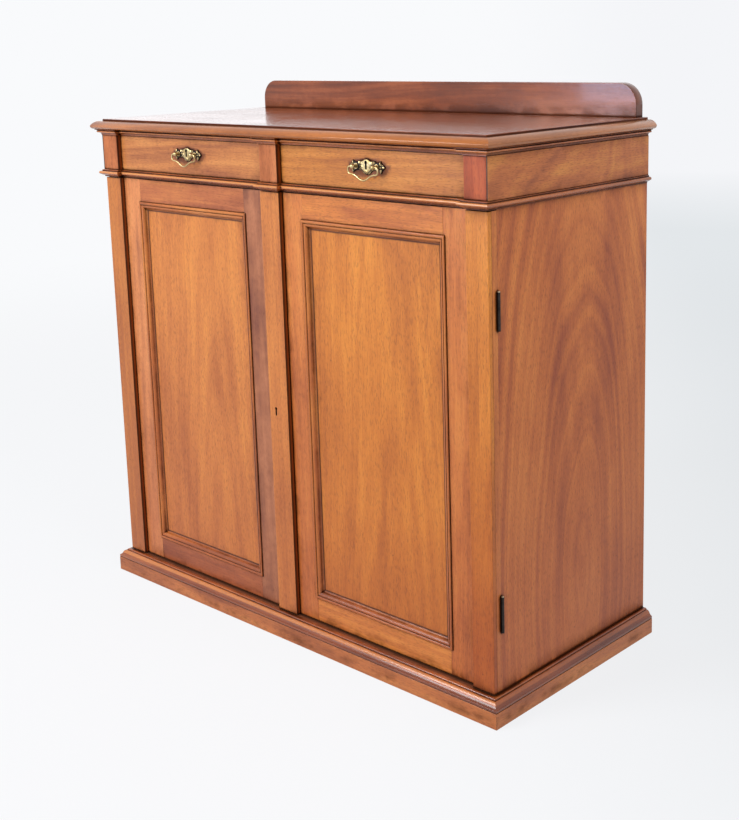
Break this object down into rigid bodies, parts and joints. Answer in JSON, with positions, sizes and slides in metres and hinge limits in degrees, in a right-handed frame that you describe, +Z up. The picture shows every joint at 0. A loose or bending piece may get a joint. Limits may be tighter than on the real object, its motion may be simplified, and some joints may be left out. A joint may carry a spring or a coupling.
{
  "type": "chiffonier",
  "caption": "Low wooden cupboard with panelled doors between flat pilasters, frieze drawers with brass bail handles, a moulded top and plinth, and a low rounded back rail.",
  "frame": {"origin": "on the floor, in the middle of the footprint", "axes": "+Z up, +X to the right as one faces the doors, -Y out of the front, +Y towards the wall"},
  "size_m": [1.102, 0.489, 1.081],
  "materials": {
    "walnut": "french polish, satin",
    "walnut_gold": "french polish, satin",
    "walnut_top": "french polish, glossy",
    "pine": "bare, aged",
    "brass": "antiqued, satin",
    "iron": "aged, dull"
  },
  "bodies": {
    "carcase": {"base_frame": "pine", "plinth_boards": "walnut", "plinth_moulding": "walnut", "bottom_board": "pine", "side_left": "walnut", "side_right": "walnut", "back_boards": "pine", "shelf": "pine", "drawer_deck": "pine", "drawer_partition": "pine", "drawer_guides": "pine", "drawer_stops": "pine", "top_rail": "pine", "frieze_blocks": "walnut", "frieze_sides": "walnut", "mid_moulding": "walnut", "bed_moulding": "walnut", "top_board": "walnut_top", "gallery": "walnut_top", "hinge_leaves_fixed": "iron", "hinge_pins": "iron"},
    "left_door": {"left_door_hinge_stile": "walnut", "left_door_meeting_stile": "walnut", "left_door_rails": "walnut", "left_door_panel": "walnut_gold", "left_door_panel_moulding": "walnut", "left_door_pilasters": "walnut", "left_door_hinge_leaves": "iron", "left_door_lock_case": "iron"},
    "right_door": {"right_door_hinge_stile": "walnut", "right_door_meeting_stile": "walnut", "right_door_rails": "walnut", "right_door_panel": "walnut_gold", "right_door_panel_moulding": "walnut", "right_door_pilasters": "walnut", "right_door_hinge_leaves": "iron", "right_door_bolt_case": "iron"},
    "left_door_bolt": {"left_door_lock_bolt": "iron"},
    "right_door_slip_bolt": {"right_door_bolt": "iron"},
    "left_drawer": {"left_drawer_front": "walnut_gold", "left_drawer_side_left": "pine", "left_drawer_side_right": "pine", "left_drawer_back": "pine", "left_drawer_bottom": "pine", "left_drawer_lock_case": "iron", "left_drawer_handle_plate": "brass", "left_drawer_handle_posts": "brass"},
    "left_bail": {"left_drawer_bail": "brass"},
    "left_drawer_bolt": {"left_drawer_lock_bolt": "iron"},
    "right_drawer": {"right_drawer_front": "walnut_gold", "right_drawer_side_left": "pine", "right_drawer_side_right": "pine", "right_drawer_back": "pine", "right_drawer_bottom": "pine", "right_drawer_lock_case": "iron", "right_drawer_handle_plate": "brass", "right_drawer_handle_posts": "brass"},
    "right_bail": {"right_drawer_bail": "brass"},
    "right_drawer_bolt": {"right_drawer_lock_bolt": "iron"}
  },
  "joints": [
    {"name": "left_door", "type": "hinge", "parent": "carcase", "child": "left_door", "pos_m": [-0.533, -0.2015, 0.472], "axis": [0, 0, -1], "range_deg": [0, 180]},
    {"name": "right_door", "type": "hinge", "parent": "carcase", "child": "right_door", "pos_m": [0.533, -0.2015, 0.472], "axis": [0, 0, 1], "range_deg": [0, 180]},
    {"name": "left_door_bolt", "type": "slide", "parent": "left_door", "child": "left_door_bolt", "axis": [1, 0, 0], "range_m": [0, 0.009]},
    {"name": "right_door_slip_bolt", "type": "slide", "parent": "right_door", "child": "right_door_slip_bolt", "axis": [0, 0, 1], "range_m": [0, 0.012]},
    {"name": "left_drawer", "type": "slide", "parent": "carcase", "child": "left_drawer", "axis": [0, -1, 0], "range_m": [0, 0.32]},
    {"name": "left_bail", "type": "hinge", "parent": "left_drawer", "child": "left_bail", "pos_m": [-0.253, -0.228, 0.9535], "axis": [-1, 0, 0], "range_deg": [-20, 150]},
    {"name": "left_drawer_bolt", "type": "slide", "parent": "left_drawer", "child": "left_drawer_bolt", "axis": [0, 0, 1], "range_m": [0, 0.007]},
    {"name": "right_drawer", "type": "slide", "parent": "carcase", "child": "right_drawer", "axis": [0, -1, 0], "range_m": [0, 0.32]},
    {"name": "right_bail", "type": "hinge", "parent": "right_drawer", "child": "right_bail", "pos_m": [0.253, -0.228, 0.9535], "axis": [-1, 0, 0], "range_deg": [-20, 150]},
    {"name": "right_drawer_bolt", "type": "slide", "parent": "right_drawer", "child": "right_drawer_bolt", "axis": [0, 0, 1], "range_m": [0, 0.007]}
  ]
}
